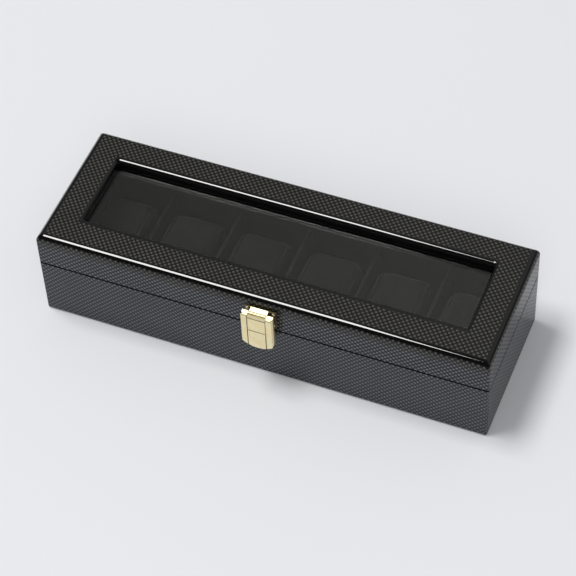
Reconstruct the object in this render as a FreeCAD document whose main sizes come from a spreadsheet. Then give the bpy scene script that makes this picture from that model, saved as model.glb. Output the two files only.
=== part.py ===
import FreeCAD, Part
import math
import os
import Sketcher
from FreeCAD import Placement, Rotation, Vector

# A long case for six watches: mitred walls, a lid with a glass window, two hinges and a hasp.
# Origin: centre of the felt underside. +X along the case, -Y towards the hasp, +Z up.

DIMENSIONS = {
    "box_length": 330, "box_depth": 108.6, "box_height": 77,
    "seam_height": 50, "seam_gap": 0.4, "wall": 9,
    "corner_round": 1.6, "lid_edge_round": 5, "foot_round": 0.8, "rim_round": 0.4,
    "felt": 0.8, "felt_inset": 3, "floor_board": 5, "lining": 1.2, "rim_drop": 0.4,
    "divider": 3, "divider_top": 42, "divider_round": 1.2,
    "pillow_width": 43, "pillow_reach": 68, "pillow_tall": 37, "pillow_gap": 0.3,
    "pillow_round": 14, "pillow_end_round": 5,
    "frame_thick": 8.8, "glass": 2.5, "glass_lap": 4, "glass_play": 0.2,
    "window_side": 140, "window_front": -27.4, "window_back": 29.7,
    "window_corner": 1.2, "window_edge_round": 3.5,
    "headliner": 1.5, "headliner_setback": 1.5,
    "hinge_x": 105, "hinge_width": 30, "hinge_out": 2.2, "hinge_barrel": 2.2, "hinge_pin": 1.0,
    "hinge_leaf": 1.0, "leaf_reach": 14, "leaf_bite": 1,
    "knuckle_gap": 0.2, "running_clearance": 0.05,
    "stop_reach": 4.4, "stop_thick": 1.1, "lid_travel": 100, "stop_play": 0.1,
    "screw_shank": 1.2, "screw_head": 2.4, "screw_depth": 6, "screw_head_tall": 0.7,
    "screw_spacing": 20, "screw_rise": 9,
    "latch_x": 3.2, "latch_width": 22.5, "plate": 1.0, "plate_low": 53, "plate_high": 69,
    "arm_width": 12.8, "arm_thick": 1.2, "arm_crest": 70.8, "arm_crest_out": 1.8,
    "arm_foot": 69.7, "arm_foot_out": 5.2,
    "pivot_out": 6.1, "pivot_height": 69, "knuckle": 1.5, "pivot_pin": 0.75,
    "rail_gap": 0.3, "flap_back": 4.6, "flap_front": 9.3,
    "flap_side_low": 41.6, "flap_low": 37.3, "flap_rim": 0.3, "toe_round": 1.8,
    "bar_crest_out": 5.3, "bar_front_out": 7.5, "bar_front": 69.65, "bar_back": 69.7,
    "rail_back_out": 7.9, "rail_top": 69.8, "rail_flat_out": 8.1, "rail_mid_out": 8.8,
    "rail_mid": 69.5, "rail_nose": 68.9, "bar_groove_floor": 68.9,
    "panel_set": 0.3, "left_groove": 0.6, "right_groove": 0.9, "groove_depth": 0.7,
    "step_height": 54.3, "knuckle_clear": 0.2, "brow_low": 67.6, "brow_groove": 0.9,
    "side_groove": 1.0, "side_groove_front": 8.8, "side_groove_floor": 8.1, "side_groove_back": 6.7,
    "keeper_width": 19, "keeper_low": 38.6, "keeper_high": 49.2, "nose_width": 10, "nose_out": 3.4,
    "nose_low": 44, "nose_high": 47.5, "nose_lip": 1, "leaf_spring": 0.4, "leaf_spring_width": 8,
    "leaf_spring_high": 53, "catch_high": 43.6, "catch_low": 41.4, "catch_out": 2.4,
    "brad_shank": 0.6, "brad_head": 1.1, "brad_head_tall": 0.8, "brad_depth": 6,
    "brad_side": 9.4, "brad_high": 67.4, "brad_low": 56, "keeper_brad_side": 7.4,
    "keeper_brad_height": 41.2,
}
COMPARTMENTS = 6
PAST = 1  # mm that a cutter runs past the piece it cuts
LONG = 1  # mm beyond which an edge counts as a long one

doc = FreeCAD.newDocument("watch_box")
sheet = doc.addObject("Spreadsheet::Sheet", "Sizes")
for row, (alias, number) in enumerate(DIMENSIONS.items(), start=1):
    sheet.set(f"A{row}", alias)
    sheet.set(f"B{row}", str(number))
    sheet.setAlias(f"B{row}", alias)
doc.recompute()


class Size:
    # A length worked out from the sheet: its value now, and the expression that keeps it bound.
    def __init__(self, text, value):
        self.text = text
        self.value = value

    def __add__(self, other):
        return Size(f"({self.text} + {text_of(other)})", self.value + value_of(other))

    def __sub__(self, other):
        return Size(f"({self.text} - {text_of(other)})", self.value - value_of(other))

    def __mul__(self, factor):
        return Size(f"({self.text} * {factor})", self.value * factor)

    def __truediv__(self, divisor):
        return Size(f"({self.text} / {divisor})", self.value / divisor)

    def __neg__(self):
        return Size(f"(-1 * {self.text})", -self.value)


def text_of(length):
    return length.text if isinstance(length, Size) else repr(float(length))


def value_of(length):
    return length.value if isinstance(length, Size) else float(length)


def dim(alias):
    return Size(f"Sizes.{alias}", float(getattr(sheet, alias)))


nodes = {}


def keep(name, piece):
    piece.Label = name
    nodes[name] = piece
    return piece


def bind(piece, **lengths):
    for prop, length in lengths.items():
        piece.setExpression(prop.replace("__", "."), text_of(length))
    return piece


# Part primitives and booleans.

def box(x0, x1, y0, y1, z0, z1):
    block = doc.addObject("Part::Box", "Block")
    return bind(block, Length=x1 - x0, Width=y1 - y0, Height=z1 - z0,
                Placement__Base__x=x0, Placement__Base__y=y0, Placement__Base__z=z0)


def rod(axis, radius, length, x, y, z):
    # A cylinder that starts at (x, y, z) and runs along the axis.
    turned = doc.addObject("Part::Cylinder", "Rod")
    turned.Placement = Placement(Vector(), Rotation(Vector(0, 0, 1), axis))
    return bind(turned, Radius=radius, Height=length,
                Placement__Base__x=x, Placement__Base__y=y, Placement__Base__z=z)


def dome(axis, radius, height, x, y, z):
    # A low spherical cap whose flat side lies at (x, y, z).
    ball_radius = (radius.value ** 2 + height.value ** 2) / (2 * height.value)
    cap = doc.addObject("Part::Sphere", "Dome")
    cap.Radius = ball_radius
    cap.Angle1 = math.degrees(math.asin((ball_radius - height.value) / ball_radius))
    cap.Angle2 = 90
    cap.Placement = Placement(Vector(), Rotation(Vector(0, 0, 1), axis))
    sink = (ball_radius - height.value) * axis
    return bind(cap, Placement__Base__x=x - sink.x, Placement__Base__y=y - sink.y,
                Placement__Base__z=z - sink.z)


def fuse(*pieces):
    joined = doc.addObject("Part::MultiFuse", "Joined")
    joined.Shapes = list(pieces)
    joined.Refine = True
    return joined


def cut(base, *tools):
    result = doc.addObject("Part::Cut", "Trimmed")
    result.Base = base
    result.Tool = tools[0] if len(tools) == 1 else fuse(*tools)
    return result


def common(base, tool):
    result = doc.addObject("Part::Common", "Shared")
    result.Base = base
    result.Tool = tool
    return result


def group(pieces):
    gathered = doc.addObject("Part::Compound", "Group")
    gathered.Links = pieces
    return gathered


def rounded(base, radius_of_edge):
    # Fillets each edge for which radius_of_edge(edge) gives a radius.
    doc.recompute()
    chosen = []
    for index, edge in enumerate(base.Shape.Edges, start=1):
        radius = radius_of_edge(edge)
        if radius:
            chosen.append((index, radius, radius))
    upright_first = sorted(chosen, key=lambda item: -base.Shape.Edges[item[0] - 1].BoundBox.ZLength)
    result = doc.addObject("Part::Fillet", "Rounded")
    result.Base = base
    result.Edges = upright_first
    return result


def mitred(block, turn, half_run, half_across, low, high):
    # One wall of a mitred frame: a wedge with 45 degree ends, turned about Z to its side,
    # and trimmed to the rounded block that all four walls share.
    wedge = doc.addObject("Part::Wedge", "Mitre")
    wedge.Placement = Placement(Vector(), Rotation(Vector(0, 0, 1), turn))
    bind(wedge, Xmin=-half_run, Xmax=half_run, X2min=-half_run + wall, X2max=half_run - wall,
         Ymin=-half_across, Ymax=-half_across + wall, Zmin=low, Zmax=high, Z2min=low, Z2max=high)
    return common(block, wedge)


# Sketched bodies.

def outline(body, role, corners, start=None):
    # A closed outline on one of the body's origin planes, drawn anticlockwise. Each corner is
    # (across, up) and, where an outward arc runs to the next corner, its radius as well.
    sketch = body.newObject("Sketcher::SketchObject", "Outline")
    plane = next(item for item in body.Origin.OriginFeatures if item.Role == role)
    sketch.AttachmentSupport = (plane, [""])
    sketch.MapMode = "FlatFace"
    if start is not None:
        sketch.setExpression("AttachmentOffset.Base.z", start.text)
    count = len(corners)
    points = [Vector(corner[0].value, corner[1].value, 0) for corner in corners]
    for index, corner in enumerate(corners):
        first, last = points[index], points[(index + 1) % count]
        if len(corner) == 3:
            half = (last - first) / 2
            inward = Vector(-half.y, half.x, 0).normalize()
            centre = first + half + inward * math.sqrt(corner[2].value ** 2 - half.Length ** 2)
            begin = math.atan2(first.y - centre.y, first.x - centre.x)
            end = math.atan2(last.y - centre.y, last.x - centre.x)
            ring = Part.Circle(centre, Vector(0, 0, 1), corner[2].value)
            sketch.addGeometry(Part.ArcOfCircle(ring, begin, end), False)
        else:
            sketch.addGeometry(Part.LineSegment(first, last), False)
    for index, corner in enumerate(corners):
        sketch.addConstraint(Sketcher.Constraint("Coincident", index, 2, (index + 1) % count, 1))
        for kind, length in (("DistanceX", corner[0]), ("DistanceY", corner[1])):
            where = sketch.addConstraint(Sketcher.Constraint(kind, -1, 1, index, 1, length.value))
            sketch.setExpression(f"Constraints[{where}]", length.text)
        if len(corner) == 3:
            where = sketch.addConstraint(Sketcher.Constraint("Radius", index, corner[2].value))
            sketch.setExpression(f"Constraints[{where}]", corner[2].text)
    return sketch


def padded(body, sketch, length, kind="PartDesign::Pad", backwards=False):
    feature = body.newObject(kind, "Feature")
    feature.Profile = sketch
    feature.Reversed = backwards
    feature.setExpression("Length", length.text)
    return feature


def softened(body, kind, size, wanted):
    # A Fillet or Chamfer of one size on every edge of the body that is wanted.
    doc.recompute()
    base = body.Tip
    names = [f"Edge{number}" for number, edge in enumerate(base.Shape.Edges, start=1) if wanted(edge)]
    feature = body.newObject(kind, "Softened")
    feature.Base = (base, names)
    feature.setExpression("Radius" if kind.endswith("Fillet") else "Size", size.text)
    return feature


def profile(name, role, corners, start, length, backwards=False):
    body = doc.addObject("PartDesign::Body", name)
    padded(body, outline(body, role, corners, start), length, backwards=backwards)
    return body


def near(first, second, slack=0.01):
    return abs(first - value_of(second)) < slack


def flat_at(edge, axis, length):
    # True where the whole edge lies in the plane that crosses the axis at that length.
    limits = edge.BoundBox
    low, high = {"x": (limits.XMin, limits.XMax), "y": (limits.YMin, limits.YMax),
                 "z": (limits.ZMin, limits.ZMax)}[axis]
    return near(low, length) and near(high, length)


# Lengths used by several pieces.

half_length = dim("box_length") / 2
half_depth = dim("box_depth") / 2
wall = dim("wall")
lining = dim("lining")
top = dim("box_height")
base_low = dim("felt")
base_high = dim("seam_height") - dim("seam_gap") / 2
lid_low = dim("seam_height") + dim("seam_gap") / 2
frame_low = top - dim("frame_thick")
floor_top = base_low + dim("floor_board")
carpet_top = floor_top + lining
inner_x = half_length - wall
inner_y = half_depth - wall
room_x = inner_x - lining
room_y = inner_y - lining
headliner_low = frame_low - dim("headliner")
front = -half_depth
back = half_depth
forwards = Vector(0, -1, 0)
rearwards = Vector(0, 1, 0)
sideways = Vector(1, 0, 0)


# Case walls and lid rails.

def case_block(low, high, low_round, high_round):
    block = box(-half_length, half_length, front, back, low, high)

    def radius_of_edge(edge):
        if edge.BoundBox.ZLength > LONG:
            return dim("corner_round").value
        return low_round.value if flat_at(edge, "z", low) else high_round.value

    return rounded(block, radius_of_edge)


def screw_places(high):
    # Two screws in each of the two hinge leaves that lie on one side of the seam.
    rise = dim("screw_rise") if high else -dim("screw_rise")
    return [(dim("hinge_x") * side + dim("screw_spacing") * (place / 2), dim("seam_height") + rise)
            for side in (-1, 1) for place in (-1, 1)]


def brad_places(heights, side):
    return [(dim("latch_x") + side * way, height) for height in heights for way in (-1, 1)]


def bores(places, direction, radius, depth, surface):
    return [rod(direction, radius, depth, x, surface, z) for x, z in places]


base_block = case_block(base_low, base_high, dim("foot_round"), dim("rim_round"))
lid_block = case_block(lid_low, top, dim("rim_round"), dim("lid_edge_round"))

plate_brads = brad_places([dim("brad_high"), dim("brad_low")], dim("brad_side"))
keeper_brads = brad_places([dim("keeper_brad_height")], dim("keeper_brad_side"))
hinge_bore = (dim("screw_shank"), dim("screw_depth"), back)
brad_bore = (dim("brad_shank"), dim("brad_depth"), front)

SIDES = {"front": 0, "right": 90, "back": 180, "left": 270}
for side, turn in SIDES.items():
    reach = (half_length, half_depth) if side in ("front", "back") else (half_depth, half_length)
    panel = mitred(base_block, turn, *reach, base_low, base_high)
    rail = mitred(lid_block, turn, *reach, lid_low, frame_low)
    if side == "back":
        panel = cut(panel, *bores(screw_places(False), forwards, *hinge_bore))
        rail = cut(rail, *bores(screw_places(True), forwards, *hinge_bore))
    if side == "front":
        panel = cut(panel, *bores(keeper_brads, rearwards, *brad_bore))
        rail = cut(rail, *bores(plate_brads, rearwards, *brad_bore))
    keep(f"base_{side}_panel", panel)
    keep(f"lid_{side}_rail", rail)


# Floor, felt and linings.

keep("base_floor_panel", box(-inner_x, inner_x, -inner_y, inner_y, base_low, floor_top))
felt_x = half_length - dim("felt_inset")
felt_y = half_depth - dim("felt_inset")
keep("base_felt", box(-felt_x, felt_x, -felt_y, felt_y, Size("0", 0.0), base_low))
keep("lining_floor", box(-inner_x, inner_x, -inner_y, inner_y, floor_top, carpet_top))


def line_walls(prefix, low, high):
    # Long strips run corner to corner, and the short ones fit between them.
    keep(f"{prefix}_front", box(-inner_x, inner_x, -inner_y, -room_y, low, high))
    keep(f"{prefix}_back", box(-inner_x, inner_x, room_y, inner_y, low, high))
    keep(f"{prefix}_left", box(-inner_x, -room_x, -room_y, room_y, low, high))
    keep(f"{prefix}_right", box(room_x, inner_x, -room_y, room_y, low, high))


line_walls("lining", carpet_top, base_high - dim("rim_drop"))
line_walls("lid_lining", lid_low + dim("rim_drop"), headliner_low)


# Dividers and cushions.

divider = dim("divider")
bay = (room_x * 2 - divider * (COMPARTMENTS - 1)) / COMPARTMENTS
pitch = bay + divider
for number in range(1, COMPARTMENTS):
    middle = pitch * (number - COMPARTMENTS / 2)
    board = box(middle - divider / 2, middle + divider / 2, -room_y, room_y,
                carpet_top, dim("divider_top"))
    keep(f"divider_{number}", rounded(
        board, lambda edge: dim("divider_round").value
        if flat_at(edge, "z", dim("divider_top")) and edge.BoundBox.YLength > LONG else 0))

pillow_low = carpet_top + dim("pillow_gap")
pillow_high = pillow_low + dim("pillow_tall")
pillow_half = dim("pillow_reach") / 2
pillow_round = dim("pillow_round")
for number in range(1, COMPARTMENTS + 1):
    # An oval-ended section across the case, as long as the bay is wide less its play.
    middle = pitch * (number - (COMPARTMENTS + 1) / 2)
    near_y, far_y = -pillow_half + pillow_round, pillow_half - pillow_round
    under, over = pillow_low + pillow_round, pillow_high - pillow_round
    corners = [(near_y, pillow_low), (far_y, pillow_low, pillow_round),
               (pillow_half, under), (pillow_half, over, pillow_round),
               (far_y, pillow_high), (near_y, pillow_high, pillow_round),
               (-pillow_half, over), (-pillow_half, under, pillow_round)]
    start = middle - dim("pillow_width") / 2
    pillow = profile(f"pillow_{number}", "YZ_Plane", corners, start, dim("pillow_width"))
    softened(pillow, "PartDesign::Fillet", dim("pillow_end_round"),
             lambda edge: flat_at(edge, "x", start) or flat_at(edge, "x", start + dim("pillow_width")))
    keep(f"watch_pillow_{number}", pillow)


# Lid top: routed frame, glass and headliner.

window_side = dim("window_side")
window_front, window_back = dim("window_front"), dim("window_back")
lap = dim("glass_lap")
glass_top = frame_low + dim("glass")
slab = common(lid_block, box(-half_length, half_length, front, back, frame_low, top))
hole = rounded(box(-window_side, window_side, window_front, window_back, frame_low - PAST, top + PAST),
               lambda edge: dim("window_corner").value if edge.BoundBox.ZLength > LONG else 0)
rebate = box(-window_side - lap, window_side + lap, window_front - lap, window_back + lap,
             frame_low - PAST, glass_top)
routed = cut(slab, hole, rebate)


def is_window_rim(edge):
    limits = edge.BoundBox
    return flat_at(edge, "z", top) and max(-limits.XMin, limits.XMax) < window_side.value + LONG


keep("lid_top_frame", rounded(
    routed, lambda edge: dim("window_edge_round").value if is_window_rim(edge) else 0))
play = dim("glass_play")
keep("window_glass", box(-window_side - lap + play, window_side + lap - play,
                         window_front - lap + play, window_back + lap - play, frame_low, glass_top))
set_back = dim("headliner_setback")
keep("lid_headliner", cut(
    box(-inner_x, inner_x, -inner_y, inner_y, headliner_low, frame_low),
    box(-window_side - set_back, window_side + set_back, window_front - set_back,
        window_back + set_back, headliner_low - PAST, frame_low + PAST)))


# Hinges: two leaves on the back face, with the barrel just outside it.

axis_y = back + dim("hinge_out")
axis_z = dim("seam_height")
barrel = dim("hinge_barrel")
pin = dim("hinge_pin")
gap = dim("knuckle_gap")
leaf = dim("hinge_leaf")
third = dim("hinge_width") / 3
clear_of_barrel = barrel + gap * 2
stop = dim("stop_thick")
leaf_bite = dim("leaf_bite")


def knuckle(first, last, bore_clearance):
    tube = rod(sideways, barrel, last - first, first, axis_y, axis_z)
    return tube, rod(sideways, pin + bore_clearance, last - first + 2 * PAST, first - PAST,
                     axis_y, axis_z)


def base_leaf(middle):
    # The outer knuckles belong to the base leaf, and its plate hangs below the seam.
    left, right = middle - third * 1.5, middle + third * 1.5
    plate = box(left, right, back, back + leaf, axis_z - dim("leaf_reach"), axis_z - clear_of_barrel)
    tabs = []
    bored = []
    for first, last in ((left, left + third - gap), (right - third + gap, right)):
        tube, bore = knuckle(first, last, 0)
        tabs += [tube, box(first, last, back, back + leaf, axis_z - clear_of_barrel - leaf_bite,
                           axis_z)]
        bored.append(bore)
    holes = [rod(rearwards, dim("screw_shank"), leaf + 2 * PAST, x, back - PAST, z)
             for x, z in screw_places(False)]
    return cut(fuse(plate, *tabs), *bored, *holes)


def lid_leaf(middle):
    # The middle knuckle belongs to the lid leaf. Its stop tab meets the base leaf when the lid
    # has turned through its travel.
    left, right = middle - third * 1.5, middle + third * 1.5
    first, last = middle - third / 2 + gap, middle + third / 2 - gap
    plate = box(left, right, back, back + leaf, axis_z + clear_of_barrel, axis_z + dim("leaf_reach"))
    tube, bore = knuckle(first, last, dim("running_clearance").value)
    tab = box(first, last, back, back + leaf, axis_z, axis_z + clear_of_barrel + leaf_bite)
    lug = box(first, last, leaf - dim("hinge_out") + dim("stop_play"), leaf - dim("hinge_out") + stop,
              -dim("stop_reach"), -barrel / 2)
    turned = doc.addObject("Part::Compound", "StopTab")
    turned.Links = [lug]
    turned.Placement = Placement(Vector(), Rotation(sideways, dim("lid_travel").value))
    bind(turned, Placement__Base__y=axis_y, Placement__Base__z=axis_z)
    holes = [rod(rearwards, dim("screw_shank"), leaf + 2 * PAST, x, back - PAST, z)
             for x, z in screw_places(True)]
    return cut(fuse(plate, tube, tab, turned), bore, *holes)


for side_name, way in (("left", -1), ("right", 1)):
    middle = dim("hinge_x") * way
    keep(f"hinge_{side_name}_base_leaf", base_leaf(middle))
    keep(f"hinge_{side_name}_lid_leaf", lid_leaf(middle))
    keep(f"hinge_{side_name}_pin", rod(sideways, pin, dim("hinge_width"), middle - third * 1.5,
                                       axis_y, axis_z))


def fastener(direction, surface, x, z, kind, depth, under_head):
    # A shank that starts inside the wood and a domed head on the plate's face.
    toward = -1 if direction == forwards else 1
    head = dome(direction, dim(f"{kind}_head"), dim(f"{kind}_head_tall"), x,
                surface + under_head * toward, z)
    shank = rod(direction, dim(f"{kind}_shank"), depth + under_head, x, surface - depth * toward, z)
    return fuse(head, shank)


for high in (False, True):
    keep("hinge_lid_screws" if high else "hinge_base_screws",
         group([fastener(rearwards, back, x, z, "screw", dim("screw_depth"), leaf)
                for x, z in screw_places(high)]))


# Hasp: lid plate with an arm and knuckle, pivot pin, flap, keeper and snap leaf.

latch_x = dim("latch_x")
half_latch = dim("latch_width") / 2
half_arm = dim("arm_width") / 2
plate = dim("plate")
pivot_y = front - dim("pivot_out")
pivot_z = dim("pivot_height")
curl = dim("knuckle")
bore = dim("pivot_pin")
rail_in = half_arm + dim("rail_gap")
flap_back_y = front - dim("flap_back")
flap_front_y = front - dim("flap_front")


def brad_holes(places):
    return [rod(rearwards, dim("brad_shank"), plate + 2 * PAST, x, front - plate - PAST, z)
            for x, z in places]


plate_block = box(latch_x - half_latch, latch_x + half_latch, front - plate, front,
                  dim("plate_low"), dim("plate_high"))
arm_crest_y = front - dim("arm_crest_out")
arm_foot_y = front - dim("arm_foot_out")
arm_thick = dim("arm_thick")
arm = profile("arm", "YZ_Plane",
              [(arm_foot_y, dim("arm_foot") - arm_thick), (arm_crest_y, dim("arm_crest") - arm_thick),
               (front - plate, dim("plate_high") - arm_thick),
               (front - plate / 2, dim("plate_high") - arm_thick),
               (front - plate / 2, dim("plate_high")), (arm_crest_y, dim("arm_crest")),
               (arm_foot_y, dim("arm_foot"))],
              latch_x - half_arm, dim("arm_width"))
curl_rod = rod(sideways, curl, half_arm * 2, latch_x - half_arm, pivot_y, pivot_z)
pin_bore = rod(sideways, bore, half_arm * 2 + 2 * PAST, latch_x - half_arm - PAST, pivot_y, pivot_z)
keep("latch_lid_plate", cut(fuse(plate_block, arm, curl_rod), pin_bore,
                            *brad_holes(plate_brads)))
keep("latch_pivot_pin", rod(sideways, bore, half_latch * 2, latch_x - half_latch, pivot_y, pivot_z))
keep("latch_lid_pins", group([fastener(forwards, front, x, z, "brad", dim("brad_depth"), plate)
                              for x, z in plate_brads]))

flap_high = pivot_z + curl
sag = dim("flap_side_low") - dim("flap_low")
toe_radius = Size(f"(({half_latch.text}^2 + {sag.text}^2) / (2 * {sag.text}))",
                  (half_latch.value ** 2 + sag.value ** 2) / (2 * sag.value))
flap = profile("flap", "XZ_Plane",
               [(latch_x - half_latch, dim("flap_side_low"), toe_radius),
                (latch_x + half_latch, dim("flap_side_low")),
                (latch_x + half_latch, flap_high), (latch_x - half_latch, flap_high)],
               -flap_back_y, dim("flap_front") - dim("flap_back"))
softened(flap, "PartDesign::Fillet", dim("toe_round"),
         lambda edge: edge.BoundBox.YLength > LONG and near(edge.BoundBox.ZMax, dim("flap_side_low")))
softened(flap, "PartDesign::Chamfer", dim("flap_rim"),
         lambda edge: flat_at(edge, "y", flap_front_y)
         and edge.BoundBox.ZMin < pivot_z.value - curl.value)

# The flap's side section: a sloped bar at the rear, a groove, and the rails' rounded tops.
flap_foot = dim("flap_low") - PAST
section = profile("section", "YZ_Plane",
                  [(flap_front_y, flap_foot), (flap_back_y, flap_foot), (flap_back_y, dim("bar_back")),
                   (front - dim("bar_crest_out"), flap_high),
                   (front - dim("bar_front_out"), dim("bar_front")),
                   (front - dim("bar_front_out"), dim("bar_groove_floor")),
                   (front - dim("rail_back_out"), dim("bar_groove_floor")),
                   (front - dim("rail_back_out"), dim("rail_top")),
                   (front - dim("rail_flat_out"), dim("rail_top")),
                   (front - dim("rail_mid_out"), dim("rail_mid")), (flap_front_y, dim("rail_nose"))],
                  latch_x - half_latch - PAST, dim("latch_width") + 2 * PAST)

# The knuckle pocket opens upwards and to the rear, behind a bevelled brow between the rails.
pocket_reach = curl + dim("knuckle_clear")
knuckle_slot = box(latch_x - rail_in, latch_x + rail_in, pivot_y - pocket_reach, flap_back_y + PAST,
                   pivot_z - pocket_reach, flap_high + PAST)
brow_foot = dim("brow_low")
brow = profile("brow", "YZ_Plane",
               [(flap_front_y - PAST, brow_foot), (flap_front_y, brow_foot),
                (front - dim("rail_flat_out"), dim("rail_top")),
                (front - dim("rail_flat_out"), flap_high), (flap_front_y - PAST, flap_high)],
               latch_x - rail_in, rail_in * 2)
brow_line = box(latch_x - rail_in, latch_x + rail_in, flap_front_y - PAST,
                flap_front_y + dim("groove_depth"), brow_foot - dim("brow_groove"), brow_foot)


def side_groove(way):
    # A valley down the side of the flap, with its long slope to the rear.
    side_x = latch_x + half_latch * way
    floor_x = side_x - dim("side_groove") * way
    corners = [(side_x + PAST * way, front - dim("side_groove_front")),
               (side_x, front - dim("side_groove_front")),
               (floor_x, front - dim("side_groove_front") + (dim("side_groove") / 4)),
               (floor_x, front - dim("side_groove_floor")),
               (side_x, front - dim("side_groove_back")),
               (side_x + PAST * way, front - dim("side_groove_back"))]
    return profile("side_groove", "XY_Plane", corners if way < 0 else corners[::-1],
                   flap_foot, flap_high - flap_foot + PAST)


pin_way = rod(sideways, bore + dim("running_clearance").value, half_latch * 2 + 2 * PAST,
              latch_x - half_latch - PAST, pivot_y, pivot_z)
grooves = [box(latch_x + rail_in * way - width / 2, latch_x + rail_in * way + width / 2,
               flap_front_y - PAST, flap_front_y + dim("groove_depth"), flap_foot, flap_high)
           for way, width in ((-1, dim("left_groove")), (1, dim("right_groove")))]
upper_panel = box(latch_x - rail_in, latch_x + rail_in, flap_front_y - PAST,
                  flap_front_y + dim("panel_set"), dim("step_height"), brow_foot)
keep("latch_flap", cut(common(flap, section), knuckle_slot, pin_way, brow, brow_line, upper_panel,
                       side_groove(-1), side_groove(1), *grooves))

keeper_plate = box(latch_x - dim("keeper_width") / 2, latch_x + dim("keeper_width") / 2,
                   front - plate, front, dim("keeper_low"), dim("keeper_high"))
nose_tip, nose_root = front - dim("nose_out"), front - plate / 2
nose = profile("nose", "YZ_Plane",
               [(nose_root, dim("nose_low")), (nose_root, dim("nose_high")),
                (front - plate, dim("nose_high")), (nose_tip, dim("nose_low") + dim("nose_lip")),
                (nose_tip, dim("nose_low"))],
               latch_x - dim("nose_width") / 2, dim("nose_width"))
keep("latch_keeper", cut(fuse(keeper_plate, nose), *brad_holes(keeper_brads)))
keep("latch_keeper_pins", group([fastener(forwards, front, x, z, "brad", dim("brad_depth"), plate)
                                 for x, z in keeper_brads]))

spring = dim("leaf_spring")
catch_tip = front - dim("catch_out")
keep("latch_spring_leaf", profile(
    "leaf", "YZ_Plane",
    [(flap_back_y, dim("catch_low")), (flap_back_y + spring, dim("catch_low")),
     (catch_tip, dim("catch_high") - spring), (catch_tip, dim("catch_high")),
     (flap_back_y + spring, dim("catch_high")), (flap_back_y + spring, dim("leaf_spring_high")),
     (flap_back_y, dim("leaf_spring_high"))],
    latch_x - dim("leaf_spring_width") / 2, dim("leaf_spring_width")))


# Checks, then one file per piece.

doc.recompute()
faults = [f"{item.Name} {item.State}" for item in doc.Objects
          if "Invalid" in item.State or "Error" in item.State]
for name, piece in nodes.items():
    if piece.Shape.isNull() or not piece.Shape.isValid() or not piece.Shape.Solids:
        faults.append(f"{name} has no valid solid")
if faults:
    raise RuntimeError("; ".join(faults))

os.makedirs("parts", exist_ok=True)
for name, piece in nodes.items():
    piece.Shape.exportStep(f"parts/{name}.step")
    limits = piece.Shape.BoundBox
    print(f"{name}: {len(piece.Shape.Solids)} solid, {piece.Shape.Volume:.1f} mm3, "
          f"x {limits.XMin:.2f} {limits.XMax:.2f}, y {limits.YMin:.2f} {limits.YMax:.2f}, "
          f"z {limits.ZMin:.2f} {limits.ZMax:.2f}")
print(len(nodes), "pieces")
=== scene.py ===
import math
import bmesh
import bpy
from mathutils import Matrix, Vector, noise
from mathutils.bvhtree import BVHTree
from mathutils.geometry import area_tri


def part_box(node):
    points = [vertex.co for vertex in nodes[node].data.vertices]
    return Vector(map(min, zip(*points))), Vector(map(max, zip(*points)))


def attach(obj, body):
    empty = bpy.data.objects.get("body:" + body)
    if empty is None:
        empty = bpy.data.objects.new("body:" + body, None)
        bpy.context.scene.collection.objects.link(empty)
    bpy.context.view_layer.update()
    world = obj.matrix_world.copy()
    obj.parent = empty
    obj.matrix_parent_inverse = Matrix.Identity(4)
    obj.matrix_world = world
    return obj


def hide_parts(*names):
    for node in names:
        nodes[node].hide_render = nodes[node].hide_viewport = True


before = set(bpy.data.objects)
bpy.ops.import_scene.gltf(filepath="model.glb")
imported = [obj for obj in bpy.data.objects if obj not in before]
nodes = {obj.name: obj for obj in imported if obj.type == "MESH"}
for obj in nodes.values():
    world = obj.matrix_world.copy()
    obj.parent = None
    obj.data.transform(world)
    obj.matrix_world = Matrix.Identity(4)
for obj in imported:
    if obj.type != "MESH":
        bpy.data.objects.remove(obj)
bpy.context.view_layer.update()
sides = ("front", "back", "left", "right")
hands = ("left", "right")
pillowNumbers = range(1, 7)
print("frame loaded:", len(nodes), "nodes")


# small helpers for node trees

def addNode(tree, kind, inputs=None, **settings):
    made = tree.nodes.new("ShaderNode" + kind)
    for name, value in settings.items():
        setattr(made, name, value)
    for name, value in (inputs or {}).items():
        plug(tree, made.inputs[name], value)
    return made


def plug(tree, socket, value):
    if isinstance(value, bpy.types.NodeSocket):
        tree.links.new(value, socket)
    else:
        socket.default_value = value


def calc(tree, operation, *values):
    made = tree.nodes.new("ShaderNodeMath")
    made.operation = operation
    for socket, value in zip(made.inputs, values):
        plug(tree, socket, value)
    return made.outputs[0]


def blendValue(tree, factor, first, second):
    return addNode(tree, "Mix", {0: factor, 2: first, 3: second}, data_type="FLOAT").outputs[0]


def blendColour(tree, factor, first, second):
    return addNode(tree, "Mix", {0: factor, 6: first, 7: second}, data_type="RGBA").outputs[2]


def ramp(tree, value, low, high):
    made = addNode(tree, "MapRange", {"Value": value, "From Min": low, "From Max": high},
                   interpolation_type="SMOOTHSTEP")
    return made.outputs[0]


def newGroup(name, inputs, outputs):
    # sockets are written as name: kind, with a value after the kind where an input has one
    group = bpy.data.node_groups.new(name, "ShaderNodeTree")
    for label, (kind, value) in inputs.items():
        socket = group.interface.new_socket(label, in_out="INPUT", socket_type="NodeSocket" + kind)
        if value is not None:
            socket.default_value = value
    for label, kind in outputs.items():
        group.interface.new_socket(label, in_out="OUTPUT", socket_type="NodeSocket" + kind)
    entry = group.nodes.new("NodeGroupInput")
    end = group.nodes.new("NodeGroupOutput")
    return group, entry.outputs, end.inputs


def useGroup(tree, group, inputs):
    made = tree.nodes.new("ShaderNodeGroup")
    made.node_tree = group
    for name, value in inputs.items():
        plug(tree, made.inputs[name], value)
    return made.outputs


def noiseAt(tree, vector, scale, detail=3.0, roughness=0.5):
    made = addNode(tree, "TexNoise", {"Vector": vector, "Scale": scale, "Detail": detail,
                                      "Roughness": roughness})
    return made.outputs[0]


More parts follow.
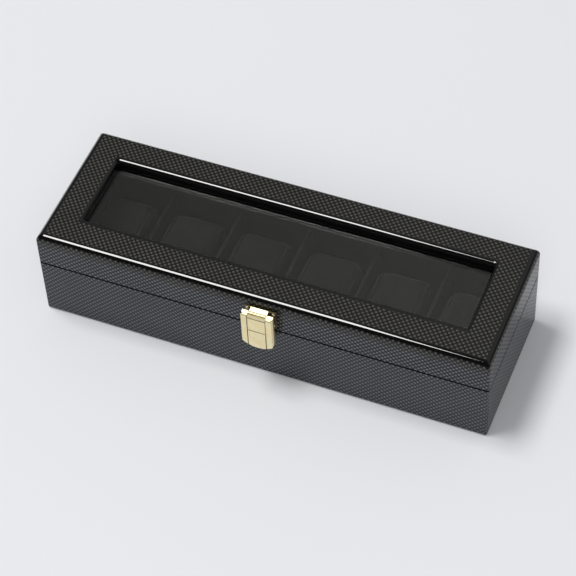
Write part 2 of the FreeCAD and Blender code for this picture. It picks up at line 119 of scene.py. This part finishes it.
def bumpFrom(tree, height, distance, strength=1.0):
    return addNode(tree, "Bump", {"Height": height, "Distance": distance,
                                  "Strength": strength}).outputs[0]


def newMaterial(name, **constants):
    # a Principled shader whose fixed numbers sit on its own sockets
    made = bpy.data.materials.new(name)
    made.use_nodes = True
    tree = made.node_tree
    shader = tree.nodes["Principled BSDF"]
    for label, value in constants.items():
        shader.inputs[label.replace("_", " ")].default_value = value
    coords = tree.nodes.new("ShaderNodeTexCoord")
    return made, tree, shader.inputs, coords.outputs


def dress(name, material):
    nodes[name].data.materials.clear()
    nodes[name].data.materials.append(material)


# shader groups that several materials use

groupLook = {
    "squareOn": 0.7,                    # how far a normal lies along an axis before its face counts
    "archAcross": 0.6, "archAlong": 0.75,
    "fibresAcross": 22.0, "fibresAlong": 1.6, "fibreDetail": 2.0,
    "pileDetail": 4.0, "pileRough": 0.65, "pileFrom": 0.3, "pileTo": 0.7,
    "patchDetail": 3.0, "patchFrom": 0.35, "patchTo": 0.65,
}


def makeFacePlane():
    # picks the two coordinates that lie in a face, so one pattern runs over every side of a box
    group, given, out = newGroup(
        "facePlane", {"Position": ("Vector", None), "Normal": ("Vector", None),
                      "Turn": ("Float", 0.0), "Lean": ("Float", 0.0)},
        {"Across": "Float", "Along": "Float", "Level": "Float"})
    place = addNode(group, "SeparateXYZ", {0: given["Position"]}).outputs
    facing = addNode(group, "SeparateXYZ", {0: given["Normal"]}).outputs
    sideways = calc(group, "GREATER_THAN", calc(group, "ABSOLUTE", facing[0]), groupLook["squareOn"])
    level = calc(group, "GREATER_THAN", calc(group, "ABSOLUTE", facing[2]), groupLook["squareOn"])
    across = blendValue(group, sideways, place[0], place[1])
    along = blendValue(group, level, place[2], place[1])
    turned = blendValue(group, level, given["Lean"], given["Turn"])
    cosine, sine = calc(group, "COSINE", turned), calc(group, "SINE", turned)
    plug(group, out["Across"], calc(group, "SUBTRACT", calc(group, "MULTIPLY", across, cosine),
                                    calc(group, "MULTIPLY", along, sine)))
    plug(group, out["Along"], calc(group, "ADD", calc(group, "MULTIPLY", across, sine),
                                   calc(group, "MULTIPLY", along, cosine)))
    plug(group, out["Level"], level)
    return group


def fibreLines(group, across, along):
    stretched = addNode(group, "CombineXYZ", {
        0: calc(group, "MULTIPLY", across, groupLook["fibresAcross"]),
        1: calc(group, "MULTIPLY", along, groupLook["fibresAlong"])}).outputs[0]
    return noiseAt(group, stretched, 1.0, groupLook["fibreDetail"])


def makeCarbonWeave():
    # plain weave of flat tows: each cell is the crown of one tow, warp and weft by turns
    group, given, out = newGroup(
        "carbonWeave", {"Across": ("Float", None), "Along": ("Float", None), "Tow": ("Float", 0.002)},
        {"Warp": "Float", "Crown": "Float", "Fibre": "Float"})
    look = groupLook
    u = calc(group, "DIVIDE", given["Across"], given["Tow"])
    v = calc(group, "DIVIDE", given["Along"], given["Tow"])
    cells = calc(group, "ADD", calc(group, "FLOOR", u), calc(group, "FLOOR", v))
    warp = calc(group, "FLOORED_MODULO", cells, 2.0)    # 0 and 1 by turns, as on a chessboard
    archU = calc(group, "SINE", calc(group, "MULTIPLY", calc(group, "FRACT", u), math.pi))
    archV = calc(group, "SINE", calc(group, "MULTIPLY", calc(group, "FRACT", v), math.pi))
    overWarp = calc(group, "MULTIPLY", calc(group, "POWER", archU, look["archAcross"]),
                    calc(group, "POWER", archV, look["archAlong"]))
    overWeft = calc(group, "MULTIPLY", calc(group, "POWER", archV, look["archAcross"]),
                    calc(group, "POWER", archU, look["archAlong"]))
    warpLine = fibreLines(group, u, v)
    weftLine = fibreLines(group, v, u)
    plug(group, out["Warp"], warp)
    plug(group, out["Crown"], blendValue(group, warp, overWeft, overWarp))
    plug(group, out["Fibre"], blendValue(group, warp, weftLine, warpLine))
    return group


def makeNap():
    # short pile: fine mottling, soft patches where it was brushed, and a height for bump
    group, given, out = newGroup(
        "nap", {"Position": ("Vector", None), "Pile": ("Float", 0.0006), "Patch": ("Float", 0.012)},
        {"Mottle": "Float", "Patches": "Float", "Height": "Float"})
    look = groupLook
    pile = noiseAt(group, given["Position"], calc(group, "DIVIDE", 1.0, given["Pile"]),
                   look["pileDetail"], look["pileRough"])
    patch = noiseAt(group, given["Position"], calc(group, "DIVIDE", 1.0, given["Patch"]),
                    look["patchDetail"])
    plug(group, out["Mottle"], ramp(group, pile, look["pileFrom"], look["pileTo"]))
    plug(group, out["Patches"], ramp(group, patch, look["patchFrom"], look["patchTo"]))
    plug(group, out["Height"], pile)
    return group


facePlane = makeFacePlane()
carbonWeave = makeCarbonWeave()
nap = makeNap()
print("shader groups made")


# carbon-look film and black lacquer on the wood

film = {
    "tow": 0.00197,
    "turnOnLid": math.radians(4.3),
    "baseContrast": 0.75, "railContrast": 0.94, "topContrast": 0.88, "middleTone": 0.3,
    # painted light: the pale tows of the sides are lighter and bluer and those of the top darker and warmer,
    # painted for how each face is lit
    "sideTowPaintedLight": (0.208, 0.221, 0.248, 1),
    "topTowPaintedShade": (0.143, 0.140, 0.131, 1),
    "darkTow": (0.0035, 0.0035, 0.0038, 1),
    "lacquer": (0.0022, 0.0022, 0.0025, 1),
    "warpShine": 0.05, "betweenFibres": 0.35,
    "cloudScale": 60.0, "cloudDetail": 2.0, "cloudSwing": 0.5, "cloudLeast": 0.75,
    "filmRough": 0.48, "metal": 0.6, "filmCoat": 0.5,
    "lacquerRough": 0.04, "coatRough": 0.04, "edgeRough": 0.7,
    "baseShine": 0.2, "grazing": (0.35, 0.35, 0.35, 1),
    "crownHeight": 0.00004, "crownStrength": 0.6,
    "seam": 0.050, "seamHalf": 0.00075, "seamSoft": 0.0001,
    "foot": 0.0014, "footSoft": 0.0002,
}


def filmMaterial(name, lightTow, contrast, lean, maskOf):
    # the pale tows are a partly metallic print under clear lacquer, and the dark ones are plain black
    made, tree, shader, coords = newMaterial(name, Coat_Roughness=film["coatRough"], IOR=1.5,
                                             Specular_Tint=film["grazing"],
                                             Specular_IOR_Level=film["baseShine"])
    plane = useGroup(tree, facePlane, {"Position": coords["Object"], "Normal": coords["Normal"],
                                       "Turn": film["turnOnLid"], "Lean": lean})
    weave = useGroup(tree, carbonWeave, {"Across": plane["Across"], "Along": plane["Along"],
                                         "Tow": film["tow"]})
    place = addNode(tree, "SeparateXYZ", {0: coords["Object"]}).outputs
    mask = maskOf(tree, place, plane["Level"])
    # the seam band is matt black: edge paint, widened as painted shade of the gap between lid and base
    seam = within(tree, place[2], film["seam"], film["seamHalf"], film["seamSoft"])
    shine = calc(tree, "MULTIPLY", weave["Crown"],
                 calc(tree, "ADD", weave["Fibre"], film["betweenFibres"]))
    lit = calc(tree, "MULTIPLY", shine, blendValue(tree, weave["Warp"], film["warpShine"], 1.0))
    cloudy = noiseAt(tree, coords["Object"], film["cloudScale"], film["cloudDetail"])
    cloudy = calc(tree, "MULTIPLY", cloudy, film["cloudSwing"])
    lit = calc(tree, "MULTIPLY", lit, calc(tree, "ADD", cloudy, film["cloudLeast"]))
    lit = calc(tree, "ADD", calc(tree, "MULTIPLY", lit, contrast), film["middleTone"] * (1 - contrast))
    colour = blendColour(tree, lit, film["darkTow"], lightTow)
    plug(tree, shader["Base Color"], blendColour(tree, mask, film["lacquer"], colour))
    plug(tree, shader["Metallic"], calc(tree, "MULTIPLY", mask, film["metal"]))
    coat = calc(tree, "MULTIPLY", blendValue(tree, mask, 1.0, film["filmCoat"]),
                calc(tree, "SUBTRACT", 1.0, seam))
    plug(tree, shader["Coat Weight"], coat)
    rough = blendValue(tree, mask, film["lacquerRough"], film["filmRough"])
    plug(tree, shader["Roughness"], blendValue(tree, seam, rough, film["edgeRough"]))
    height = calc(tree, "MULTIPLY", weave["Crown"], mask)
    plug(tree, shader["Normal"], bumpFrom(tree, height, film["crownHeight"], film["crownStrength"]))
    return made


def within(tree, value, middle, half, soft):
    # 1 inside middle +- half, falling to 0 over the soft width
    away = calc(tree, "ABSOLUTE", calc(tree, "SUBTRACT", value, middle))
    return ramp(tree, away, half + soft, half)


def sideMask(tree, place, level):
    # the film stops short of the eased edges at the seam and of the lacquered foot; the seam band is matt
    # black edge paint, widened past the edges as painted shade of the gap
    seam = within(tree, place[2], film["seam"], film["seamHalf"], film["seamSoft"])
    foot = ramp(tree, place[2], film["foot"], film["foot"] + film["footSoft"])
    upright = calc(tree, "SUBTRACT", 1.0, level)
    aboveFoot = calc(tree, "MULTIPLY", upright, foot)
    return calc(tree, "MULTIPLY", aboveFoot, calc(tree, "SUBTRACT", 1.0, seam))


lidLook = {
    "filmFront": -0.0488, "filmBack": 0.0512, "filmSide": 0.1600,
    "windowFront": -0.0317, "windowBack": 0.0343, "windowSide": 0.1428,
    "filmTopOnSides": 0.0751, "soft": 0.00015,
}


def inRectangle(tree, place, half, front, back):
    return calc(tree, "MULTIPLY",
                within(tree, place[0], 0.0, half, lidLook["soft"]),
                within(tree, place[1], (front + back) / 2, (back - front) / 2, lidLook["soft"]))


def topMask(tree, place, level):
    # the film covers the flat top between the rounded edge and the window, and comes up the sides
    look = lidLook
    outer = inRectangle(tree, place, look["filmSide"], look["filmFront"], look["filmBack"])
    window = inRectangle(tree, place, look["windowSide"], look["windowFront"], look["windowBack"])
    onTop = calc(tree, "MULTIPLY", outer, calc(tree, "SUBTRACT", 1.0, window))
    low = ramp(tree, place[2], look["filmTopOnSides"], look["filmTopOnSides"] - look["soft"])
    onSides = calc(tree, "MULTIPLY", low, calc(tree, "SUBTRACT", 1.0, window))
    return blendValue(tree, level, onSides, onTop)


# the sides and the top carry their painted light and shade in their own pale tow colours
carbonSide = filmMaterial("carbonFilmSides", film["sideTowPaintedLight"], film["baseContrast"], 0.0, sideMask)
carbonRail = filmMaterial("carbonFilmRails", film["sideTowPaintedLight"], film["railContrast"], film["turnOnLid"],
                          sideMask)
carbonTop = filmMaterial("carbonFilmTop", film["topTowPaintedShade"], film["topContrast"], film["turnOnLid"], topMask)
for side in sides:
    dress(f"base_{side}_panel", carbonSide)
    dress(f"lid_{side}_rail", carbonRail)
dress("lid_top_frame", carbonTop)
print("film and lacquer made")


# suede, felt and cushion cover

fabricLook = {
    "rough": 0.95, "sheen": 0.03, "sheenRough": 0.45, "shine": 0.1, "mottleShare": 0.6, "patchShare": 0.4,
    "suede": {"dark": (0.0065, 0.0065, 0.0067, 1), "light": (0.0125, 0.0125, 0.0127, 1),
              "pile": 0.00035, "patch": 0.014, "bump": 0.0001},
    # painted shade: the cushion cover is a darker copy of the suede, to offset the light that falls on the
    # cushion tops
    "cover": {"dark": (0.0042, 0.0042, 0.0044, 1), "light": (0.0090, 0.0090, 0.0092, 1),
              "pile": 0.00035, "patch": 0.012, "bump": 0.0001},
    "felt": {"dark": (0.006, 0.006, 0.007, 1), "light": (0.022, 0.022, 0.024, 1),
             "pile": 0.0011, "patch": 0.02, "bump": 0.0005},
}


def fabricMaterial(name, look):
    made, tree, shader, coords = newMaterial(
        name, Roughness=fabricLook["rough"], Sheen_Weight=fabricLook["sheen"],
        Sheen_Roughness=fabricLook["sheenRough"], Specular_IOR_Level=fabricLook["shine"])
    pattern = useGroup(tree, nap, {"Position": coords["Object"], "Pile": look["pile"],
                                   "Patch": look["patch"]})
    mix = calc(tree, "ADD", calc(tree, "MULTIPLY", pattern["Mottle"], fabricLook["mottleShare"]),
               calc(tree, "MULTIPLY", pattern["Patches"], fabricLook["patchShare"]))
    plug(tree, shader["Base Color"], blendColour(tree, mix, look["dark"], look["light"]))
    plug(tree, shader["Normal"], bumpFrom(tree, pattern["Height"], look["bump"]))
    return made


suede = fabricMaterial("blackSuede", fabricLook["suede"])
coverClothShaded = fabricMaterial("cushionSuedePaintedShade", fabricLook["cover"])
felt = fabricMaterial("blackFelt", fabricLook["felt"])
for name in nodes:
    if "lining" in name or "divider" in name or name == "lid_headliner":
        dress(name, suede)
dress("base_felt", felt)


# stained plywood, glass, brass and steel

plywoodLook = {
    "dark": (0.02, 0.017, 0.014, 1), "light": (0.09, 0.07, 0.05, 1), "rough": 0.7,
    "stretch": (30, 400, 400), "detail": 5.0, "grainRough": 0.6, "bump": 0.0002,
}


def plywoodMaterial():
    look = plywoodLook
    made, tree, shader, coords = newMaterial("stainedPlywood", Roughness=look["rough"])
    stretched = addNode(tree, "Mapping", {"Vector": coords["Object"], "Scale": look["stretch"]}).outputs[0]
    grain = noiseAt(tree, stretched, 1.0, look["detail"], look["grainRough"])
    plug(tree, shader["Base Color"], blendColour(tree, grain, look["dark"], look["light"]))
    plug(tree, shader["Normal"], bumpFrom(tree, grain, look["bump"]))
    return made


glassLook = {
    "clear": (0.89, 0.91, 0.89, 1), "smeared": (0.86, 0.88, 0.86, 1), "passing": (0.62, 0.64, 0.62, 1),
    "smearScale": 25.0, "smearDetail": 3.0, "smearFrom": 0.5, "smearTo": 0.8,
}


def glassMaterial():
    # shadow rays pass through, so the bays under the glass are lit
    look = glassLook
    made, tree, shader, coords = newMaterial(
        "clearGlass", Transmission_Weight=1.0, IOR=1.5, Metallic=0.0, Roughness=0.0)
    smear = ramp(tree, noiseAt(tree, coords["Object"], look["smearScale"], look["smearDetail"]),
                 look["smearFrom"], look["smearTo"])
    plug(tree, shader["Base Color"], blendColour(tree, smear, look["clear"], look["smeared"]))
    path = addNode(tree, "LightPath").outputs
    passing = addNode(tree, "BsdfTransparent", {"Color": look["passing"]})
    chosen = addNode(tree, "MixShader", {0: path["Is Shadow Ray"],
                                         1: tree.nodes["Principled BSDF"].outputs[0],
                                         2: passing.outputs[0]})
    tree.links.new(chosen.outputs[0], tree.nodes["Material Output"].inputs["Surface"])
    return made


brassLook = {
    "colour": (0.96, 0.83, 0.49, 1), "paler": (0.99, 0.91, 0.62, 1), "rough": 0.46, "dull": 0.58,
    "brushing": (9000, 1500, 500), "brushDetail": 2.0, "brushShare": 0.5,
    "brushHeight": 0.00001, "brushStrength": 0.5,
    "handledScale": 180.0, "handledDetail": 4.0, "handledRough": 0.6, "wornFrom": 0.3, "wornTo": 0.7,
    "tarnishAndShade": (0.050, 0.030, 0.012, 1), "tarnishRough": 0.6, "openBelow": 0.30, "shutAbove": 0.45,
    "behindShade": 0.8, "plateFace": -0.05545, "plateSoft": 0.00005,
}


def brassMaterial(name, shadedBehind=None):
    # tarnish and painted shade where the piece is closed in, and painted shade, dulled, behind a given depth
    look = brassLook
    made, tree, shader, coords = newMaterial(name, Metallic=1.0)
    shut = addNode(tree, "Attribute", attribute_type="GEOMETRY", attribute_name="recess").outputs["Fac"]
    # painted shade: faces that the short rays find closed in are darkened towards the tarnish colour,
    # standing for the shade in the grooves as well as tarnish
    shadeAndTarnish = ramp(tree, shut, look["openBelow"], look["shutAbove"])
    # painted shade: all behind the given depth is darkened the same way, for the lid plate that sits in the
    # flap's shadow
    if shadedBehind is not None:
        depth = addNode(tree, "SeparateXYZ", {0: coords["Object"]}).outputs[1]
        behind = ramp(tree, depth, shadedBehind - look["plateSoft"], shadedBehind)
        shadeAndTarnish = calc(tree, "MAXIMUM", shadeAndTarnish, calc(tree, "MULTIPLY", behind, look["behindShade"]))
    brushed = addNode(tree, "Mapping", {"Vector": coords["Object"], "Scale": look["brushing"]}).outputs[0]
    lines = noiseAt(tree, brushed, 1.0, look["brushDetail"])
    handled = noiseAt(tree, coords["Object"], look["handledScale"], look["handledDetail"],
                      look["handledRough"])
    plated = blendColour(tree, ramp(tree, handled, look["wornFrom"], look["wornTo"]),
                         look["colour"], look["paler"])
    plug(tree, shader["Base Color"], blendColour(tree, shadeAndTarnish, plated, look["tarnishAndShade"]))
    worn = calc(tree, "ADD", calc(tree, "MULTIPLY", lines, look["brushShare"]),
                calc(tree, "MULTIPLY", handled, 1 - look["brushShare"]))
    satin = blendValue(tree, ramp(tree, worn, look["wornFrom"], look["wornTo"]),
                       look["rough"], look["dull"])
    plug(tree, shader["Roughness"], blendValue(tree, shadeAndTarnish, satin, look["tarnishRough"]))
    plug(tree, shader["Normal"], bumpFrom(tree, lines, look["brushHeight"], look["brushStrength"]))
    return made


steelLook = {
    "dark": (0.42, 0.42, 0.42, 1), "light": (0.62, 0.62, 0.62, 1), "rough": 0.25, "dull": 0.4,
    "drawn": (6000, 6000, 300), "detail": 2.0,
}


def steelMaterial():
    look = steelLook
    made, tree, shader, coords = newMaterial("springSteel", Metallic=1.0)
    drawn = addNode(tree, "Mapping", {"Vector": coords["Object"], "Scale": look["drawn"]}).outputs[0]
    lines = noiseAt(tree, drawn, 1.0, look["detail"])
    plug(tree, shader["Base Color"], blendColour(tree, lines, look["dark"], look["light"]))
    plug(tree, shader["Roughness"], blendValue(tree, lines, look["rough"], look["dull"]))
    return made


brass = brassMaterial("palePlatedBrass")
# the lid plate's brass is painted dark behind its face, as painted shade under the flap
plateBrassInShade = brassMaterial("plateBrassPaintedShade", brassLook["plateFace"])
dress("base_floor_panel", plywoodMaterial())
dress("window_glass", glassMaterial())
dress("latch_spring_leaf", steelMaterial())
print("fabric, glass and metal made")


# metal pieces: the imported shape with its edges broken

edgeBreak = {
    "plate": 0.00012, "flap": 0.00018, "screw": 0.00010,    # widths of the eased edges
    "segments": 2, "sharp": math.radians(35), "flat": math.radians(1), "faceWeight": 50,
}
recess = {"reach": 0.0012, "lift": 0.00001, "rings": 3, "spokes": 10}
weld = 1e-6    # corners nearer than this are one corner


def mergedCopy(name, flatten=None):
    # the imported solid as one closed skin, with its flat faces made whole if an angle is given
    built = bmesh.new()
    built.from_mesh(nodes[name].data)
    bmesh.ops.remove_doubles(built, verts=built.verts, dist=weld)
    if flatten is not None:
        bmesh.ops.dissolve_limit(built, angle_limit=flatten, verts=built.verts, edges=built.edges)
    bmesh.ops.recalc_face_normals(built, faces=built.faces)
    return built


def finishPiece(built, name, body, material, node, sharpAngle):
    mesh = bpy.data.meshes.new(name)
    for face in built.faces:
        face.smooth = True
    for edge in built.edges:
        edge.smooth = not (edge.is_manifold and edge.calc_face_angle() > sharpAngle)
    built.to_mesh(mesh)
    built.free()
    mesh.materials.append(material)
    piece = bpy.data.objects.new(name, mesh)
    bpy.context.scene.collection.objects.link(piece)
    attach(piece, body)
    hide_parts(node)
    return piece


def raysAbout():
    # short rays over a half sphere about +Z, closer together near the pole
    rays = []
    for ring in range(recess["rings"]):
        sine = math.sqrt((ring + 0.5) / recess["rings"])
        for spoke in range(recess["spokes"]):
            around = math.tau * (spoke + ring / recess["rings"]) / recess["spokes"]
            rays.append(Vector((sine * math.cos(around), sine * math.sin(around),
                                math.sqrt(1 - sine * sine))))
    return rays


recessRays = raysAbout()


def markRecesses(built):
    # each face's share of short rays that meet the piece again
    tree = BVHTree.FromBMesh(built)
    layer = built.faces.layers.float.new("recess")
    widest = {}
    for loops in built.calc_loop_triangles():
        corners = [loop.vert.co for loop in loops]
        size = area_tri(*corners)
        if size > widest.get(loops[0].face, (-1, None))[0]:
            widest[loops[0].face] = (size, sum(corners, Vector()) / 3)
    for face, (_, middle) in widest.items():
        turn = face.normal.to_track_quat("Z", "Y")
        start = middle + face.normal * recess["lift"]
        met = sum(1 for ray in recessRays if tree.ray_cast(start, turn @ ray, recess["reach"])[0])
        face[layer] = met / len(recessRays)


def brokenEdges(name, width, body, material):
    # a merged copy of the node, with every sharp edge rounded
    built = mergedCopy(name, edgeBreak["flat"])
    sharp = [edge for edge in built.edges
             if edge.is_manifold and edge.calc_face_angle() > edgeBreak["sharp"]]
    bmesh.ops.bevel(built, geom=sharp, offset=width, offset_type="OFFSET", affect="EDGES",
                    segments=edgeBreak["segments"], profile=0.5, material=-1, clamp_overlap=True)
    markRecesses(built)
    piece = finishPiece(built, name + "_metal", body, material, name, edgeBreak["sharp"])
    crisp = piece.modifiers.new("crisp faces", "WEIGHTED_NORMAL")
    crisp.weight = edgeBreak["faceWeight"]
    crisp.keep_sharp = True


metalPieces = []
for hand in hands:
    metalPieces += [(f"hinge_{hand}_base_leaf", "plate", "base"), (f"hinge_{hand}_lid_leaf", "plate", "lid"),
                    (f"hinge_{hand}_pin", "screw", "base")]
metalPieces += [
    ("hinge_base_screws", "screw", "base"), ("hinge_lid_screws", "screw", "lid"),
    ("latch_lid_plate", "plate", "lid"), ("latch_pivot_pin", "screw", "lid"),
    ("latch_lid_pins", "screw", "lid"), ("latch_keeper", "plate", "base"),
    ("latch_keeper_pins", "screw", "base"), ("latch_flap", "flap", "latch_flap"),
]
for name, width, body in metalPieces:
    brokenEdges(name, edgeBreak[width], body, plateBrassInShade if name == "latch_lid_plate" else brass)
print("metal pieces made")


# cushions

cushion = {
    "shrink": 0.0016, "voxel": 0.005, "quickVoxel": 0.006, "smoothing": 2, "quickSmoothing": 1,
    "pressure": 4.0, "frames": 20, "cap": 0.0035, "quality": 6, "tension": 25.0, "bending": 0.6,
    "fill": 0.7,
    "seamIn": 0.0050, "pinch": 0.0011, "pinchWide": 0.0035, "puckerReach": 3,
    "puckerEvery": 0.0065, "pucker": 0.00028, "puckerShift": 90,
    "pipe": 0.00085, "pipeRings": 2,
}


def shownMesh(piece):
    # the mesh with its modifiers applied
    graph = bpy.context.evaluated_depsgraph_get()
    return bpy.data.meshes.new_from_object(piece.evaluated_get(graph), depsgraph=graph)


def swapMesh(piece, mesh):
    piece.modifiers.clear()
    piece.data = mesh


def remeshed(piece, voxel):
    even = piece.modifiers.new("even", "REMESH")
    even.mode = "VOXEL"
    even.voxel_size = voxel
    swapMesh(piece, shownMesh(piece))


def inflate(piece):
    # stuffing presses the cover outwards, and no point moves further than the cap
    rest = [point.co.copy() for point in piece.data.vertices]
    scene = bpy.context.scene
    cloth = piece.modifiers.new("stuffing", "CLOTH")
    cloth.settings.quality = cushion["quality"]
    cloth.settings.use_pressure = True
    cloth.settings.uniform_pressure_force = cushion["pressure"]
    cloth.settings.tension_stiffness = cushion["tension"]
    cloth.settings.compression_stiffness = cushion["tension"]
    cloth.settings.bending_stiffness = cushion["bending"]
    cloth.settings.effector_weights.gravity = 0
    cloth.point_cache.frame_start, cloth.point_cache.frame_end = 1, cushion["frames"]
    for step in range(1, cushion["frames"] + 1):
        scene.frame_set(step)
        bpy.context.view_layer.update()
    swollen = shownMesh(piece)
    for point, start in zip(swollen.vertices, rest):
        shift = point.co - start
        if shift.length > cushion["cap"]:
            point.co = start + shift * (cushion["cap"] / shift.length)
    swapMesh(piece, swollen)
    scene.frame_set(1)


def sewEnds(built, low, high):
    # a sewn seam runs round each end: the cover is pinched there and puckers to each side
    look = cushion
    for point in built.verts:
        for seam in (low.x + look["seamIn"], high.x - look["seamIn"]):
            away = abs(point.co.x - seam)
            if away < look["pinchWide"]:
                depth = look["pinch"] * (1 - away / look["pinchWide"]) ** 2
                point.co -= point.normal * depth
            elif away < look["pinchWide"] * look["puckerReach"]:
                fold = noise.noise(Vector((seam * look["puckerShift"], point.co.y / look["puckerEvery"],
                                           point.co.z / look["puckerEvery"])))
                fade = look["puckerReach"] - away / look["pinchWide"]
                point.co += point.normal * fold * look["pucker"] * fade


def pipingAlong(piece, seam):
    # a corded edge: the seam's own outline, given a round section
    built = bmesh.new()
    built.from_mesh(piece.data)
    bmesh.ops.bisect_plane(built, geom=built.verts[:] + built.edges[:] + built.faces[:],
                           plane_co=(seam, 0, 0), plane_no=(1, 0, 0), clear_inner=True, clear_outer=True)
    rim = bpy.data.meshes.new("rim")
    built.to_mesh(rim)
    built.free()
    cord = bpy.data.objects.new("cord", rim)
    bpy.context.scene.collection.objects.link(cord)
    bpy.context.view_layer.objects.active = cord
    for item in bpy.context.selected_objects:
        item.select_set(False)
    cord.select_set(True)
    bpy.ops.object.convert(target="CURVE")
    cord.data.bevel_depth = cushion["pipe"]
    cord.data.bevel_resolution = cushion["pipeRings"]
    bpy.ops.object.convert(target="MESH")
    rope = cord.data
    bpy.data.objects.remove(cord)
    return rope


def makeCushion(number):
    node = f"watch_pillow_{number}"
    low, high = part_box(node)
    built = mergedCopy(node)
    middle = (low + high) / 2
    size = high - low
    bmesh.ops.translate(built, vec=-middle, verts=built.verts)
    bmesh.ops.scale(built, vec=[1 - 2 * cushion["shrink"] / side for side in size], verts=built.verts)
    bmesh.ops.translate(built, vec=middle, verts=built.verts)
    piece = finishPiece(built, f"cushion_{number}", f"pillow_{number}", coverClothShaded,
                        node, math.pi)
    remeshed(piece, cushion["voxel"])
    inflate(piece)
    smooth = piece.modifiers.new("smooth", "SUBSURF")
    smooth.levels = cushion["smoothing"]
    smooth.render_levels = smooth.levels
    swapMesh(piece, shownMesh(piece))
    built = bmesh.new()
    built.from_mesh(piece.data)
    sewEnds(built, low, high)
    for point in built.verts:
        point.co.z = max(point.co.z, low.z)
    built.to_mesh(piece.data)
    built.free()
    ropes = [pipingAlong(piece, seam)
             for seam in (low.x + cushion["seamIn"], high.x - cushion["seamIn"])]
    built = bmesh.new()
    built.from_mesh(piece.data)
    for rope in ropes:
        built.from_mesh(rope)
    for face in built.faces:
        face.smooth = True
        face.material_index = 0
    built.to_mesh(piece.data)
    built.free()
    piece.data.materials.clear()
    piece.data.materials.append(coverClothShaded)


for number in pillowNumbers:
    makeCushion(number)
print("cushions made")


# floor, light and camera

studio = {
    "floor": (0.719, 0.728, 0.762, 1), "floorSize": 8.0, "floorFaint": 0.985, "faintScale": 3.0,
    "faintDetail": 2.0, "floorRough": 0.85, "floorShine": 0.1,
    "aim": (0.0, 0.0, 0.05), "lampColour": (1.0, 0.99, 0.97),
    "keyPlace": (-1.93, -0.35, 6.05), "keySize": (2.7, 1.6), "keyPower": 270.0,
    "frontPlace": (1.6, -4.2, 4.4), "frontSize": (3.0, 3.0), "frontPower": 100.0,
    "fill": (0.35, 0.35, 0.352, 1), "dark": 0.04, "warmth": 0.97,
    "backTone": 0.094, "backFrom": -0.10, "backTo": 0.35,
    "wallFoot": (0.35, 0.62), "wallHead": (0.92, 0.80),
    "glowLeft": 0.10, "glowRight": 0.27, "glowTurn": (-0.42, -0.12),
    "horizon": 0.55, "horizonBand": (0.10, 0.02),
}


def makeFloor():
    built = bmesh.new()
    bmesh.ops.create_grid(built, x_segments=1, y_segments=1, size=studio["floorSize"] / 2)
    mesh = bpy.data.meshes.new("floor")
    built.to_mesh(mesh)
    built.free()
    made, tree, shader, coords = newMaterial("paleFloor", Roughness=studio["floorRough"],
                                             Specular_IOR_Level=studio["floorShine"])
    faint = noiseAt(tree, coords["Object"], studio["faintScale"], studio["faintDetail"])
    shade = [channel * studio["floorFaint"] for channel in studio["floor"][:3]] + [1]
    plug(tree, shader["Base Color"], blendColour(tree, faint, studio["floor"], shade))
    mesh.materials.append(made)
    floor = bpy.data.objects.new("floor", mesh)
    bpy.context.scene.collection.objects.link(floor)


def makeLight(name, place, size, power):
    data = bpy.data.lights.new(name, "AREA")
    data.shape = "RECTANGLE"
    data.size, data.size_y = size
    data.energy = power
    data.color = studio["lampColour"]
    lamp = bpy.data.objects.new(name, data)
    bpy.context.scene.collection.objects.link(lamp)
    lamp.location = place
    lamp.rotation_euler = (Vector(studio["aim"]) - Vector(place)).to_track_quat("-Z", "Y").to_euler()
    return lamp


def makeWorld():
    # even fill on matt surfaces, while gloss sees a dark room with a grey wall at the back
    look = studio
    world = bpy.data.worlds.new("studio")
    world.use_nodes = True
    bpy.context.scene.world = world
    tree = world.node_tree
    direction = addNode(tree, "TexCoord").outputs["Generated"]
    across, deep, up = addNode(tree, "SeparateXYZ", {0: direction}).outputs
    wall = calc(tree, "MULTIPLY", ramp(tree, up, *look["wallFoot"]), ramp(tree, up, *look["wallHead"]))
    wall = calc(tree, "MULTIPLY", wall, blendValue(tree, ramp(tree, across, *look["glowTurn"]),
                                                   look["glowLeft"], look["glowRight"]))
    rear = calc(tree, "MULTIPLY", ramp(tree, deep, look["backFrom"], look["backTo"]),
                calc(tree, "ADD", wall, look["backTone"]))
    tone = calc(tree, "ADD", calc(tree, "ADD", rear, look["dark"]),
                calc(tree, "MULTIPLY", ramp(tree, up, *look["horizonBand"]), look["horizon"]))
    room = addNode(tree, "CombineXYZ", {0: tone, 1: tone,
                                        2: calc(tree, "MULTIPLY", tone, look["warmth"])}).outputs[0]
    matt = addNode(tree, "LightPath").outputs["Is Diffuse Ray"]
    plug(tree, tree.nodes["Background"].inputs["Color"], blendColour(tree, matt, room, look["fill"]))


view = {"place": (0.40189, -0.89291, 1.20735), "azimuth": 24.25, "elevation": 50.30, "roll": -3.26,
        "lens": 136.59, "sensor": 36.0}


def makeCamera():
    azimuth, elevation, roll = (math.radians(view[key]) for key in ("azimuth", "elevation", "roll"))
    back = Vector((math.sin(azimuth) * math.cos(elevation), -math.cos(azimuth) * math.cos(elevation),
                   math.sin(elevation)))
    right = Vector((math.cos(azimuth), math.sin(azimuth), 0))
    up = back.cross(right)
    across = right * math.cos(roll) + up * math.sin(roll)
    upright = up * math.cos(roll) - right * math.sin(roll)
    data = bpy.data.cameras.new("camera")
    data.lens, data.sensor_width = view["lens"], view["sensor"]
    camera = bpy.data.objects.new("camera", data)
    turn = Matrix((across, upright, back)).transposed().to_4x4()
    camera.matrix_world = Matrix.Translation(view["place"]) @ turn
    bpy.context.scene.collection.objects.link(camera)
    bpy.context.scene.camera = camera


makeFloor()
makeWorld()
makeLight("keySoftbox", studio["keyPlace"], studio["keySize"], studio["keyPower"])
frontFill = makeLight("frontFill", studio["frontPlace"], studio["frontSize"], studio["frontPower"])
frontFill.visible_glossy = False    # it only opens the shadows
makeCamera()
bpy.context.scene.view_settings.view_transform = "Standard"
print("floor, light and camera made")
